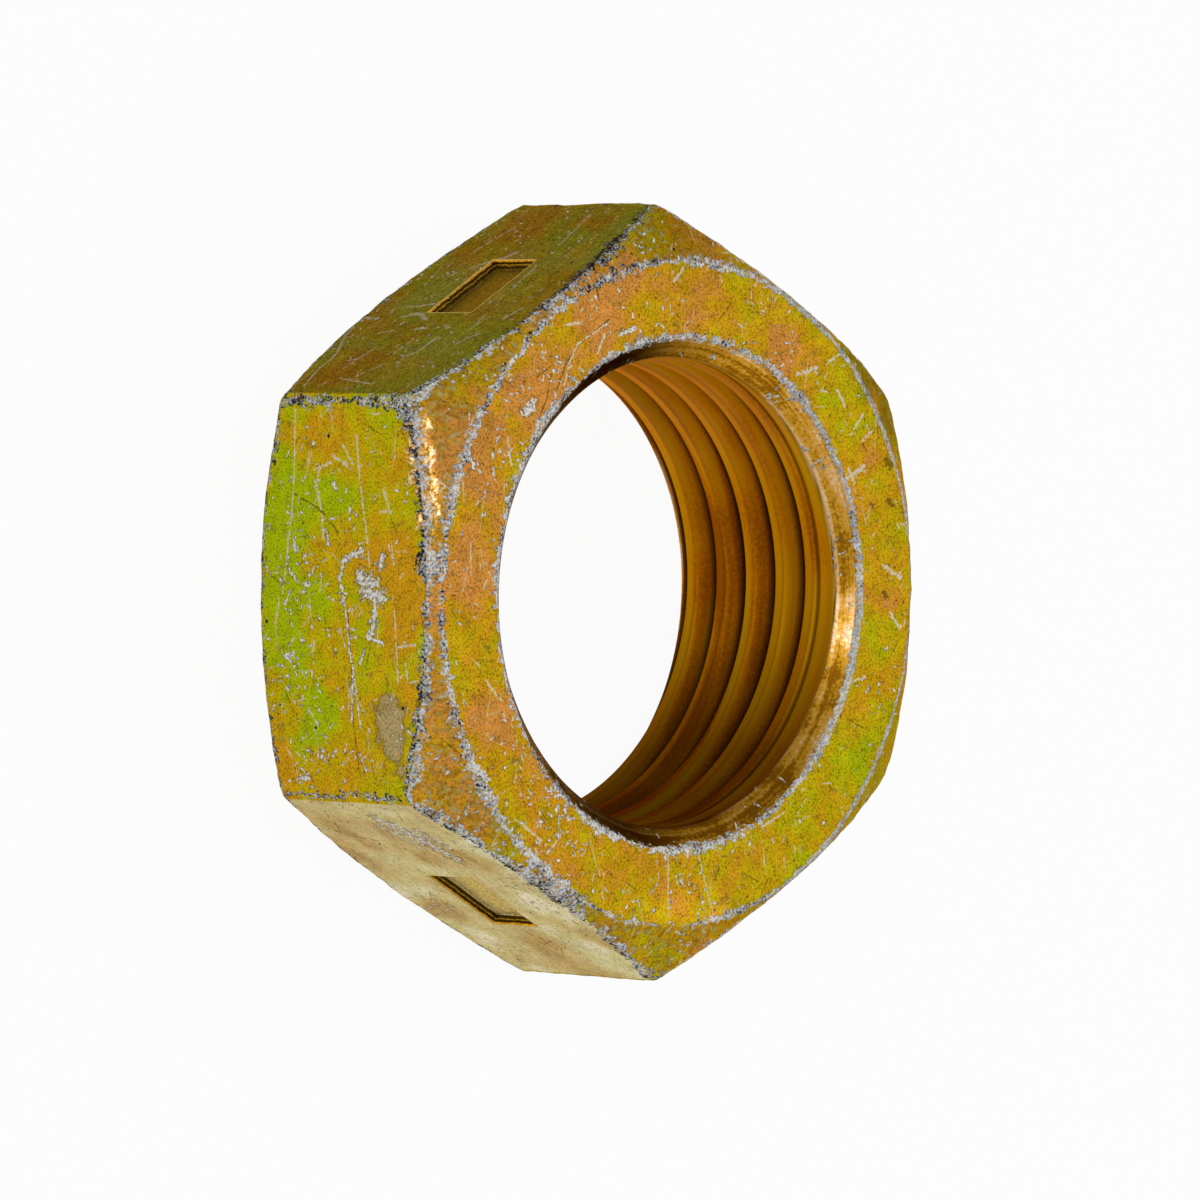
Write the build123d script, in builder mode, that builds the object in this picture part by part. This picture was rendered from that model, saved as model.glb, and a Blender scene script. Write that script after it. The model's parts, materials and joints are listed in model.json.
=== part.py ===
"""Threaded hex nut with a stamped pocket on every second flat.

Millimetres, +Z up. The nut lies on its lower face, with the origin in the
middle of the hexagon at that face, and two of its corners on the Y axis.
"""
import math
import os

from build123d import *

# Hexagon
flat_count = 6
across_flats = 25.4
height = 9.6
corner_radius = 0.7
first_corner_angle = 30

# The chamfers, countersinks and thread are turned about an axis a little off the hexagon's
turning_axis_x = 0.2

# The flat ring left on each face by the turned chamfer
face_diameter = 24.8
chamfer_angle = 30

# Internal thread, right-handed
thread_major = 19.05
thread_minor = 17.5
thread_pitch = 25.4 / 16
thread_flank_angle = 30
thread_root_flat = thread_pitch / 8
groove_height_at_x = 0.51

# Countersink at each end of the thread
mouth_diameter = 19.1
countersink_half_angle = 45

# Pockets, stamped by tools whose common centre is off the hexagon's
pocket_angles = (0, 120, 240)
pocket_length = 3.9
pocket_width = 2.35
pocket_depth = 0.35
pocket_wall_angle = 25
stamp_shift_x = 1.05

# Derived sizes
corner_reach = across_flats / 2 / math.cos(math.pi / flat_count)
turning_reach = corner_reach + abs(turning_axis_x)
chamfer_drop = (turning_reach - face_diameter / 2) * math.tan(math.radians(chamfer_angle))
sink_depth = (mouth_diameter - thread_minor) / 2 / math.tan(math.radians(countersink_half_angle))
flank_slope = math.tan(math.radians(thread_flank_angle))
groove_overlap = thread_pitch / 8
groove_inner = thread_minor / 2 - groove_overlap
groove_outer = thread_major / 2
groove_half_root = thread_root_flat / 2
groove_half_open = groove_half_root + (groove_outer - groove_inner) * flank_slope
groove_start = groove_height_at_x - thread_pitch
groove_turns = math.ceil(height / thread_pitch) + 2
turning_axis = Axis((turning_axis_x, 0, 0), (0, 0, 1))
turning_plane = Plane(origin=(turning_axis_x, 0, 0), x_dir=(1, 0, 0), z_dir=(0, -1, 0))


def stamp_plane(angle):
    """Plane on a flat at the middle of its pocket, with X along the flat and Z outward."""
    turn = math.radians(angle)
    outward = Vector(math.cos(turn), math.sin(turn), 0)
    along = Vector(-math.sin(turn), math.cos(turn), 0)
    offset = along * (along.X * stamp_shift_x)
    middle = outward * (across_flats / 2) + offset + Vector(0, 0, height / 2)
    return Plane(origin=middle, x_dir=along, z_dir=outward)


# One turn of the thread's groove, the first of a row that starts below the nut
with BuildPart() as groove:
    with BuildLine() as groove_path:
        Helix(pitch=thread_pitch, height=thread_pitch, radius=thread_minor / 2,
              center=(turning_axis_x, 0, groove_start))
    path_start = groove_path.line @ 0
    with BuildSketch(Plane(origin=path_start, x_dir=(1, 0, 0), z_dir=groove_path.line % 0)):
        with BuildLine():
            Polyline(
                (groove_inner - thread_minor / 2, -groove_half_open),
                (groove_outer - thread_minor / 2, -groove_half_root),
                (groove_outer - thread_minor / 2, groove_half_root),
                (groove_inner - thread_minor / 2, groove_half_open),
                close=True,
            )
        make_face()
    sweep(path=groove_path.line, is_frenet=True)

with BuildPart() as nut:
    # Hexagonal bar with rounded corners
    with BuildSketch():
        RegularPolygon(across_flats / 2, flat_count, major_radius=False, rotation=first_corner_angle)
        fillet(vertices(), corner_radius)
    extrude(amount=height)
    # Turned chamfer on both faces
    with BuildSketch(turning_plane):
        with BuildLine():
            Polyline(
                (0, 0),
                (face_diameter / 2, 0),
                (turning_reach, chamfer_drop),
                (turning_reach, height - chamfer_drop),
                (face_diameter / 2, height),
                (0, height),
                close=True,
            )
        make_face()
    revolve(axis=turning_axis, mode=Mode.INTERSECT)
    # Bore at the thread's minor diameter with a countersink at each end
    with BuildSketch(turning_plane):
        with BuildLine():
            Polyline(
                (0, 0),
                (mouth_diameter / 2, 0),
                (thread_minor / 2, sink_depth),
                (thread_minor / 2, height - sink_depth),
                (mouth_diameter / 2, height),
                (0, height),
                close=True,
            )
        make_face()
    revolve(axis=turning_axis, mode=Mode.SUBTRACT)
    # Stamped pockets with sloping walls
    for pocket_angle in pocket_angles:
        with BuildSketch(stamp_plane(pocket_angle)):
            Rectangle(pocket_length, pocket_width)
        extrude(amount=-pocket_depth, taper=pocket_wall_angle, mode=Mode.SUBTRACT)
    # Thread, one turn after another
    with Locations([(0, 0, turn * thread_pitch) for turn in range(groove_turns)]):
        add(groove.part, mode=Mode.SUBTRACT)

nut.part.label = "hex_nut"

os.makedirs("parts", exist_ok=True)
export_step(nut.part, "parts/hex_nut.step")
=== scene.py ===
"""The nut as it lies on a pale table: its worn plated surface, soft studio light and the camera."""

import json
import math

import bmesh
import bpy
import numpy as np
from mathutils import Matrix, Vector, noise


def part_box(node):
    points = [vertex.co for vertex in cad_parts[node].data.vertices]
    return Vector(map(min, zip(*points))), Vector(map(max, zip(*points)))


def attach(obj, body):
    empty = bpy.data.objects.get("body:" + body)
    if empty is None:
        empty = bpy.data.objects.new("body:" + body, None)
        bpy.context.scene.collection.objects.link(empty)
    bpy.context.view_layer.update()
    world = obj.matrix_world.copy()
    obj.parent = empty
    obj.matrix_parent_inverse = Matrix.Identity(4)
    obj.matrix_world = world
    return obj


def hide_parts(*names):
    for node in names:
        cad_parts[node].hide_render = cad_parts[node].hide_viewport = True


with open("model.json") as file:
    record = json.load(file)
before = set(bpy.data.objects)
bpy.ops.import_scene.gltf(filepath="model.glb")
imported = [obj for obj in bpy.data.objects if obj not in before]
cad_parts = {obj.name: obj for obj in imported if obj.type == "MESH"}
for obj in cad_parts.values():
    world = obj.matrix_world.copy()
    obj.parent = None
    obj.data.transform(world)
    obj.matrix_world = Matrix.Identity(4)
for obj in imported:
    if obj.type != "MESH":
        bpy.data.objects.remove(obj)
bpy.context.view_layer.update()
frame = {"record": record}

# Sizes are in millimetres, and MM turns them into metres
MM = 0.001
nut_low, nut_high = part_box("hex_nut")
ACROSS_FLATS = (nut_high[0] - nut_low[0]) / MM
HEIGHT = (nut_high[2] - nut_low[2]) / MM
MID = HEIGHT / 2
HALF = ACROSS_FLATS / 2
thread_mount = next(mount for mount in frame["record"]["mounts"] if mount["name"] == "thread")

TURN = 2 * math.pi

# Hexagon, and the chamfers turned about an axis a little off its middle, as on the CAD part
SIDES = 6
FLAT_TURN = TURN / SIDES
CORNER_RADIUS = 0.7
TURNING_X = thread_mount["pos_m"][0] / MM
RING_RADIUS = 12.4
CHAMFER = math.radians(30)

# Thread and countersinks, as on the CAD part
CREST_RADIUS = thread_mount["dims"]["r_mm"]
ROOT_RADIUS = 9.525
PITCH = 25.4 / 16
ROOT_FLAT = PITCH / 8
FLANK_SLOPE = math.tan(math.radians(30))
GROOVE_HEIGHT_AT_X = 0.51
MOUTH_RADIUS = 9.55

# Rounded ridge that the upper countersink has pressed into the last groove
RIDGE_START = -0.39  # from the groove's middle
RIDGE_HALF = 0.44  # half its width
RIDGE_RADIUS = 8.87
RIDGE_BULGE = 0.09
RIDGE_FADE = 0.9  # angle over which it fades at its ends
RIDGE_GAP = 0.06  # below it
RIDGE_EASE = 0.07  # height over which it rises from the gap
RIDGE_HUE = 0.22  # how much more golden it is
RIDGE_END = 1.2  # half-widths above its middle where that ends
LAST_GROOVE = math.floor((HEIGHT - GROOVE_HEIGHT_AT_X) / PITCH)

# Stamped pockets, as on the CAD part
POCKET_FLATS = (0, 2, 4)
POCKET_LENGTH = 3.9
POCKET_WIDTH = 2.35
POCKET_DEPTH = 0.35
POCKET_RUN = POCKET_DEPTH * math.tan(math.radians(25))
STAMP_SHIFT_X = 1.05

# How uneven the pockets' outlines are, as depths and sizes, and how marked the step in their walls is
UNEVEN = ((0.05, 0.5), (0.03, 0.15))
WALL_STEP = 0.8

# How far wear rounds each kind of edge
CORNER_BLEND = 0.42
CHAMFER_BLEND = 0.26
RING_BLEND = 0.09
MOUTH_BLEND = 0.13
CREST_BLEND = 0.2
SINK_BLEND = 0.05

# Half-widths of the worn bands along the edges
CORNER_WEAR = 0.34
CHAMFER_WEAR = 0.36
RING_WEAR = 0.25
MOUTH_WEAR = 0.29
POCKET_WEAR = 0.07

# How uneven the edges' rounding is, as shares and sizes, and how much further some corners go
RAGGED = ((0.5, 1.1), (0.4, 0.3))
EXTRA_ROUNDING = 2.6

# Step over which the slope of the worn body is measured, and the least square of a slope
SLOPE_STEP = 1e-4
LEAST_SLOPE = 0.2

# Small dents along the edges
DENTS = 90
DENT_SIZE = (0.12, 0.4)
DENT_DEPTH = (0.04, 0.14)

# Mesh spacing: columns, rows from the stitch out to the ring, down the chamfer and down the sides, rings
# from the mouth outwards, the thread's rows from a groove's middle and beside its crest, and lines
# along the pockets' walls
FLAT_STEPS = 60
CORNER_STEPS = 8
BORE_COLUMNS = 300
STITCH_RADIUS = 10.35
RING_INSETS = (RING_RADIUS - STITCH_RADIUS, 1.5, 1.0, 0.65, 0.42, 0.26, 0.15, 0.07, 0.0)
CHAMFER_SHARES = (0.05, 0.12, 0.22, 0.34, 0.46, 0.58, 0.7, 0.8, 0.88, 0.95, 1.0)
SIDE_DROPS = (0.05, 0.11, 0.18, 0.26, 0.36, 0.5, 0.7)
SIDE_SHARES = (0.15, 0.35, 0.55, 0.75, 0.9)
MOUTH_RINGS = MOUTH_RADIUS + np.array((0.0, 0.05, 0.11, 0.18, 0.28, 0.42))
ROOT_LINES = (0.0, 0.06, 0.09, 0.12, 0.2, 0.3, 0.4)
CREST_LINES = (-0.06, -0.02, 0.02, 0.07, 0.15)
WALL_LINES = 13
WALL_MARGIN = 0.25
LINES_INSIDE_WALL = (0.9, 0.5, 0.3)
LINES_OUTSIDE_WALL = (-0.1, -0.22)
CLEAR_OF_WALL = 0.08

# Each flat's plating, from +X round: how green it is, how bright, and how much pale film lies over it.
# The green is the plating's own colour. The brightness is painted reflection, darker on flats that face
# dark surroundings, and the pale film is a painted reflection of the white table
FLAT_TONES = (
    (0.5, 0.9, 0.15), (0.8, 0.45, 0.02), (0.67, 0.34, 0.05), (0.61, 1.1, 0.0), (0.55, 1.0, 0.92),
    (0.45, 0.85, 0.4),
)
CORNER_HUE = 0.6

# How green the turned faces are in the middle, and how much more for each millimetre along x and y.
# The chamfers are a little redder, and carry painted light that makes them brighter for each millimetre
# towards -X
FACE_HUE = 0.34
FACE_HUE_X = 0.008
FACE_HUE_Y = -0.004
CHAMFER_HUE = -0.12
CHAMFER_SHADE = 0.028

# Studio, in metres and watts
TABLE_SIZE = 4
TABLE_GLOW = 0.94
TABLE_PALE = (0.8, 0.8, 0.8)
TABLE_PALER = (0.9, 0.9, 0.9)
TABLE_ROUGH = 0.8
WORLD_LIGHT = 0.55
LAMPS = {
    "top": ((0.25, 0.1, 0.8), 0.6, 0.72),
    "far": ((0.6, 0.0, 0.6), 0.8, 1),
    "front": ((-0.5, 0.18, 0.5), 0.07, 0.6),
}

# Camera fitted to the photograph: place, turn in degrees, and lens
CAMERA_PLACE = (-228.94, 10.58, 237.76)
CAMERA_TURN = (-1.905, -44.573, -0.019)
CAMERA_LENS = 260.4
CAMERA_SENSOR = 36

# What each point of the mesh tells the materials
MARKS = ("reach", "rim", "side", "chamfer", "sink", "bore", "pocket", "depth", "hue", "shade", "milk",
         "stain", "flecks", "burnish_glint", "tarnish")

# Painted shade along thin seams in the bore
SEAM_WIDTH = 0.05  # beside the upper countersink
GAP_WIDTH = 0.07  # below the ridge
SEAM_DEPTH = 0.8  # how deep they look, as a share of the groove
SINK_EDGE = 0.06  # over which the thread's plating turns into the cones'

# Painted light and shade in the bore: how bright its plating is drawn, the thread by the sine of its
# angle, the cones by their angle
THREAD_SHADES = ((-1, 0.42), (-0.7, 0.52), (0, 1.5), (1, 1.9))
CONE_SHADES = ((-180, 0.7), (-140, 0.6), (-118, 0.25), (-104, 0.2), (-85, 0.75), (-50, 0.85), (-25, 1.1),
               (0, 1.3), (65, 1.8), (80, 1.5), (92, 0.8), (101, 0.2), (108, 0.1), (120, 0.12), (155, 0.6),
               (180, 0.7))

# How much redder or more golden the bore is: the thread by the sine of its angle, the cones by theirs
THREAD_HUE = 0.1
CONE_HUES = ((-180, 0), (-100, -0.1), (-70, -0.2), (-40, -0.2), (-15, 0), (40, 0), (65, -0.14),
             (110, -0.17), (180, 0))

# How uneven blooms are, the size of that, and the square of their reach against their size
BLOOM_UNEVEN = 0.4
BLOOM_GRAIN = 0.9
BLOOM_REACH_SQUARED = 1.2

# Blooms of colour on the left flat: place along it and height, size, and how much greener they are
LEFT_BLOOMS = (
    ((3.6, 2.3), 1.9, 0.42), ((2.2, 1.6), 1.3, 0.42), ((0.2, 1.6), 1.4, 0.48), ((-0.1, 3.4), 1.0, 0.4),
    ((-4.3, 3.6), 1.3, 0.55), ((-1.6, 2.3), 0.9, 0.35), ((-5.5, 2.6), 0.8, 0.45),
    ((-1.5, 1.3), 1.5, 0.3), ((-3.0, 2.2), 1.2, 0.3), ((3.6, 4.7), 1.1, 0.35), ((1.5, 7.7), 1.3, -0.4),
    ((-1.5, 7.9), 1.2, -0.35), ((6.3, 4.4), 1.3, -0.35), ((-6.4, 1.6), 0.9, -0.35),
    ((-3.6, 8.3), 0.9, -0.3), ((5.8, 2.4), 0.8, -0.2), ((-0.4, 8.3), 1.2, -0.3),
    ((-6.2, 5.4), 1.0, -0.2),
)

# Blooms on the upper face: x and y, size, and how much greener they are
FACE_BLOOMS = (
    ((-10.3, 5.5), 1.8, -0.3), ((-7.7, 7.3), 1.3, -0.35), ((-4.2, 10.9), 1.4, -0.4),
    ((-10.6, 1.0), 1.6, -0.3), ((-5.7, -10.4), 1.3, -0.35), ((-9.8, -4.4), 1.3, -0.3),
    ((-2.6, 12.0), 1.0, -0.3), ((-8.6, 4.6), 0.7, 0.4), ((9.2, 7.1), 1.6, 0.25),
    ((10.8, 1.0), 1.3, 0.1), ((10.8, -2.0), 1.5, 0.15), ((8.1, -6.5), 2.0, 0.15),
    ((-0.8, -10.8), 1.8, -0.2), ((-9.3, -6.5), 1.3, 0.15), ((0.0, -13.9), 1.6, 0.35),
    ((5.9, 10.9), 1.0, 0.25), ((3.2, 12.0), 0.9, 0.3), ((10.0, 5.0), 0.8, -0.3),
    ((11.4, -0.6), 0.6, -0.4), ((5.4, 9.0), 1.0, -0.3),
)

# Blooms on the two flats beside the left one: place in space, size, and how much greener they are
SIDE_BLOOMS = (
    ((-6.5, 10.9, 2.9), 1.6, 0.4), ((-9.0, 9.4, 6.2), 1.5, 0.4), ((-9.7, 9.1, 1.5), 1.3, 0.35),
    ((-2.6, 13.2, 6.5), 1.0, 0.4), ((-4.2, 12.2, 6.8), 0.9, 0.35), ((-1.9, 13.6, 3.1), 1.6, -0.5),
    ((-11.3, 8.2, 3.2), 1.7, -0.5), ((-1.3, 13.9, 6.7), 1.3, -0.4), ((-3.2, 12.8, 1.7), 1.1, -0.4),
    ((-8.8, -9.6, 9.0), 1.6, 0.4), ((-5.6, -11.5, 8.9), 1.8, 0.45), ((-2.4, -13.3, 1.0), 1.5, 0.3),
    ((-6.0, -11.2, 1.0), 1.4, 0.35), ((-1.7, -13.7, 7.6), 1.4, 0.35), ((-8.8, -9.6, 0.8), 1.4, -0.3),
    ((-10.0, -8.9, 3.2), 1.6, -0.35), ((-5.0, -11.8, 1.9), 1.2, -0.35),
    ((-2.2, -13.4, 5.0), 1.3, -0.3), ((-8.7, -9.6, 7.9), 0.9, -0.3),
)

# Painted shade and light, where the plating is drawn darker or brighter, and where it is greener: place
# in space, size and strength
SHADE_BLOOMS = (
    ((12.6, 7.3, 8.7), 2.4, -0.5), ((10.4, 8.9, 8.9), 1.8, -0.4), ((-12.2, 7.4, 8.8), 2.8, -0.25),
    ((-9.5, 9.5, 8.8), 2.2, -0.2), ((0.0, 13.9, 8.8), 2.6, -0.2), ((0.0, -14.0, 8.9), 3.5, 0.25),
    ((12.6, -7.3, 8.8), 3.0, -0.1),
)
GREEN_BLOOMS = (
    ((-12.0, 7.0, 8.9), 2.5, 0.12), ((-9.5, 9.5, 8.9), 2.0, 0.25), ((-1.5, 13.4, 8.8), 1.5, 0.3),
    ((-3.5, 12.3, 8.9), 1.2, 0.3), ((12.6, -7.3, 8.8), 3.0, 0.4), ((6.5, -11.5, 8.9), 2.0, 0.3),
    ((12.6, 7.3, 8.7), 2.6, 0.5), ((10.4, 8.9, 8.9), 1.8, 0.45),
)

# Strip of chamfer that handling has burnished, on its way down the left flat's edge. Its pale copper is
# partly a painted highlight, laid where the front lamp's highlight falls
BURNISH_GLINT_BLOOMS = (
    ((-12.5, 6.3, 8.65), 0.7, 1.0), ((-12.5, 5.3, 8.8), 0.75, 1.0), ((-12.5, 4.2, 8.95), 0.75, 1.0),
    ((-12.5, 3.1, 9.1), 0.6, 1.0),
)

# Corners that are rounded further than the others
ROUND_BLOOMS = (
    ((12.7, 7.3, 9.0), 2.8, 0.4), ((12.7, -7.3, 9.0), 2.8, 0.4),
)

# Where bare flecks crowd, and where edges are worn further: place in space, size and strength
FLECK_BLOOMS = (
    ((-7.5, -8.5, 9.6), 3.5, 0.1), ((-8.0, 6.5, 9.6), 3.5, 0.05), ((-0.5, -11.0, 9.6), 2.5, 0.05),
    ((-12.7, 1.5, 3.5), 3.5, 0.06), ((-12.7, -3.0, 3.0), 3.0, 0.06), ((-12.7, -6.5, 4.0), 2.0, 0.08),
    ((4.35, 7.2, 8.6), 1.6, 0.16), ((7.0, 4.75, 8.6), 1.6, 0.2), ((8.37, 1.45, 8.6), 1.6, 0.16),
)
WEAR_BLOOMS = (
    ((-5.0, 12.2, 8.7), 3.5, 0.1), ((-12.2, 7.0, 8.8), 1.3, 0.4), ((-12.4, 1.3, 9.2), 0.7, 0.9),
    ((-6.5, -10.3, 9.5), 2.5, 0.35), ((-12.5, -6.8, 8.8), 1.2, 0.4), ((-7.0, 6.0, 9.6), 1.5, 0.3),
    ((-12.7, 7.3, 5.0), 4.0, 0.25), ((-11.2, 5.3, 9.6), 2.2, 0.35), ((-10.6, -6.4, 9.6), 2.2, 0.35),
    ((-12.3, -2.5, 9.5), 1.8, 0.2), ((12.6, 0.0, 9.6), 2.4, -0.25), ((12.0, 3.6, 9.6), 2.4, -0.2),
    ((12.0, -3.6, 9.6), 2.4, -0.2),
)

# Where the metal bared by wear is darker
TARNISH_BLOOMS = (
    ((-1.5, 13.6, 8.7), 2.2, 0.11), ((-4.2, 12.2, 8.9), 2.2, 0.13), ((-6.8, 10.8, 9.0), 2.0, 0.1),
    ((-12.6, 0.0, 9.2), 6.5, 0.03),
)

# Dull stain on the left flat: places along it and heights, sizes and strengths
STAINS = (
    ((-4.0, 7.25), 0.85, 1.0), ((-4.8, 7.4), 0.8, 1.0), ((-5.5, 7.7), 0.55, 1.0),
    ((-6.1, 7.9), 0.35, 0.8),
)

# Scratches in the plating of the left flat: half-width, and points along the flat and up it
LEFT_SCRATCHES = (
    (0.035, (6.9, 2.3), (4.0, 2.2), (2.6, 2.0), (0.1, 1.6)),
    (0.04, (6.0, 5.6), (4.8, 5.7), (3.0, 6.0), (2.6, 6.1), (1.2, 6.3)),
    (0.05, (4.7, 3.6), (4.2, 3.4), (3.2, 3.7), (2.2, 3.8)), (0.06, (4.7, 3.3), (4.95, 4.2)),
    (0.07, (5.2, 4.3), (4.9, 5.1)), (0.06, (5.6, 4.9), (4.9, 5.4)), (0.07, (4.0, 7.0), (3.2, 7.4)),
    (0.05, (3.2, 6.9), (3.25, 7.4)), (0.06, (0.9, 5.6), (0.5, 5.9)), (0.05, (2.0, 7.3), (1.3, 7.6)),
    (0.04, (-0.3, 7.6), (-3.0, 7.8)), (0.05, (-1.5, 2.2), (-1.9, 1.9)),
    (0.05, (-1.6, 3.3), (-2.0, 3.2)), (0.06, (-3.7, 2.7), (-3.8, 2.8)),
    (0.04, (-4.1, 3.0), (-4.7, 3.5)), (0.05, (-1.7, 7.8), (-1.6, 8.7)),
    (0.05, (-2.3, 8.2), (-2.9, 8.3)), (0.05, (-0.1, 1.4), (-1.0, 1.2)), (0.05, (0.8, 3.7), (0.2, 3.6)),
)

# Bare spots on the left flat, written the same way
LEFT_BARE = (
    (0.07, (1.4, 4.9), (0.7, 4.7), (-0.4, 5.0)),
    (0.05, (-0.4, 5.0), (-1.9, 5.2), (-2.6, 5.4), (-4.5, 5.3)), (0.04, (-2.6, 5.4), (-4.7, 5.8)),
    (0.05, (-5.7, 5.8), (-6.3, 6.1)), (0.12, (1.4, 4.9), (1.8, 5.9)), (0.15, (1.6, 7.0), (1.2, 6.9)),
    (0.26, (0.8, 5.8), (0.5, 6.6)), (0.26, (0.3, 6.0), (0.1, 6.9)),
    (0.17, (0.0, 6.6), (-0.9, 6.5), (-1.4, 6.3)), (0.08, (-1.4, 6.3), (-1.6, 7.0)),
    (0.07, (-1.9, 6.0), (-2.3, 5.8)), (0.08, (4.2, 4.35), (4.0, 4.5)), (0.07, (2.4, 4.0), (1.9, 4.1)),
    (0.06, (0.2, 2.0), (-0.3, 1.7)),
)

# Scratches on the upper-left flat, written the same way
UPPER_LEFT_SCRATCHES = (
    (0.06, (2.1, 0.6), (3.0, 0.9), (3.7, 1.3), (4.4, 1.6), (5.1, 1.6), (5.6, 1.7), (6.5, 2.0)),
    (0.07, (0.7, 2.3), (0.4, 3.5)), (0.07, (1.4, 2.6), (1.2, 3.1), (1.0, 3.7)),
    (0.1, (1.1, 3.1), (1.6, 4.1)), (0.08, (2.3, 4.1), (2.2, 4.7)), (0.07, (2.0, 5.4), (2.2, 5.8)),
    (0.05, (4.3, 5.3), (4.0, 5.7), (2.9, 5.9)), (0.05, (3.4, 7.2), (2.6, 7.8)),
    (0.05, (1.9, 7.0), (1.3, 6.9)), (0.06, (4.6, 2.6), (4.5, 3.0)),
    (0.05, (5.7, 4.2), (5.3, 4.4), (4.9, 4.8)), (0.04, (5.9, 3.4), (6.3, 5.4)),
    (0.05, (2.6, 2.4), (2.4, 3.1)), (0.09, (-2.3, 3.0), (-3.1, 4.2), (-3.5, 4.4)),
    (0.06, (-1.6, 2.3), (-1.9, 2.5)), (0.12, (1.5, 0.6), (1.5, 1.3)), (0.06, (1.5, 8.1), (0.8, 8.4)),
    (0.05, (-0.6, 6.6), (-2.4, 6.4)), (0.04, (-3.6, 2.0), (-5.4, 2.6)),
    (0.04, (-4.0, 6.2), (-6.3, 5.8)), (0.04, (3.6, 3.2), (5.2, 2.9)),
)

# Scratches and bare spots on the upper face, with points as x and y
FACE_SCRATCHES = (
    (0.03, (-0.6, -9.7), (-0.6, -12.1)), (0.03, (1.0, -9.8), (1.8, -12.1)),
    (0.04, (-3.7, 10.1), (-5.3, 9.3), (-5.7, 8.7), (-6.0, 7.8)), (0.06, (-3.9, 9.7), (-4.3, 8.9)),
    (0.06, (-5.9, 10.0), (-5.2, 10.1)), (0.07, (0.2, 12.1), (-0.3, 11.6)),
    (0.05, (-8.9, 5.9), (-8.7, 4.9)), (0.05, (-10.0, -2.9), (-9.4, -3.6)),
    (0.05, (-8.3, -8.2), (-7.2, -8.9)), (0.05, (-6.9, -9.4), (-6.2, -8.8)),
    (0.05, (9.2, 5.8), (9.9, 6.6)), (0.06, (8.0, 8.6), (9.4, 9.2)), (0.05, (9.2, -3.6), (10.0, -3.4)),
    (0.05, (4.4, -8.9), (5.6, -8.4)), (0.08, (6.3, 8.1), (7.4, 8.4)), (0.1, (9.0, 4.2), (9.9, 4.6)),
    (0.08, (9.1, 4.5), (9.4, 4.0)), (0.07, (8.5, 7.5), (8.9, 6.9)), (0.07, (9.9, 5.6), (10.3, 5.9)),
    (0.08, (11.0, 0.8), (12.0, 0.3)), (0.07, (11.4, -1.0), (11.9, -1.6)),
)
FACE_BARE = (
    (0.14, (-7.9, 6.8), (-7.6, 7.2)), (0.12, (-10.9, 5.5), (-10.6, 4.9)),
    (0.16, (-8.9, 3.6), (-8.3, 4.1)), (0.1, (-11.8, 6.4), (-11.9, 5.8)),
    (0.1, (-3.0, 9.7), (-2.4, 9.9)),
)

# Dark lines on the left flat and upper face
LEFT_CRACKS = (
    (0.05, (3.8, 2.2), (3.3, 3.5), (2.9, 4.1), (2.4, 4.6)),
    (0.035, (-0.4, 5.1), (-2.2, 5.3), (-4.5, 5.4), (-6.6, 5.8)),
)
FACE_CRACKS = (
    (0.04, (-7.4, 6.4), (-6.9, 7.3), (-6.6, 8.4)),
    (0.04, (-6.4, 7.6), (-5.9, 8.6), (-5.2, 9.3), (-3.7, 10.2)), (0.05, (-4.2, 10.9), (-4.4, 11.6)),
    (0.18, (11.2, 4.8), (11.4, 4.6)), (0.1, (9.5, 2.6), (9.5, 2.4)), (0.12, (11.3, 3.3), (11.5, 3.1)),
    (0.12, (11.0, -0.2), (11.2, -0.4)), (0.08, (10.3, 3.2), (10.4, 3.1)),
)

# Scraped places and brown veins on the lower-left flat, with points in space
SIDE_BARE = (
    (0.34, (-11.2, -8.2, 5.3), (-10.4, -8.6, 5.8), (-9.8, -9.0, 6.1)),
    (0.26, (-9.8, -9.0, 6.1), (-8.6, -9.7, 6.6)), (0.12, (-10.6, -8.5, 6.6), (-9.4, -9.2, 7.1)),
    (0.1, (-10.8, -8.4, 4.7), (-9.6, -9.1, 5.3)),
)
SIDE_CRACKS = (
    (0.05, (-7.3, -10.5, 4.6), (-6.9, -10.7, 5.1), (-6.2, -11.1, 5.3)),
    (0.05, (-6.9, -10.7, 7.4), (-6.6, -10.9, 8.1), (-5.4, -11.6, 8.2), (-4.3, -12.2, 8.6)),
    (0.04, (-5.4, -11.6, 8.2), (-5.2, -11.7, 7.4)),
    (0.04, (-3.6, -12.6, 4.6), (-2.6, -13.1, 5.6), (-1.6, -13.7, 7.2)),
    (0.04, (-9.7, -9.1, 7.1), (-8.3, -9.9, 7.7), (-7.4, -10.4, 8.3)),
    (0.04, (-10.3, -8.7, 1.5), (-10.0, -8.9, 2.3), (-9.4, -9.2, 4.2)),
)

# How deep a point far from every drawn line is in one
NOWHERE = -9.0

# Colours in linear light, with their places where a colour runs through several. First the plating,
# from salmon through gold to green
PLATING_HUES = (
    (0.0, (0.56, 0.24, 0.045)), (0.25, (0.54, 0.27, 0.01)), (0.5, (0.5, 0.33, 0.006)),
    (0.75, (0.43, 0.38, 0.005)), (1.0, (0.335, 0.415, 0.005)),
)
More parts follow.
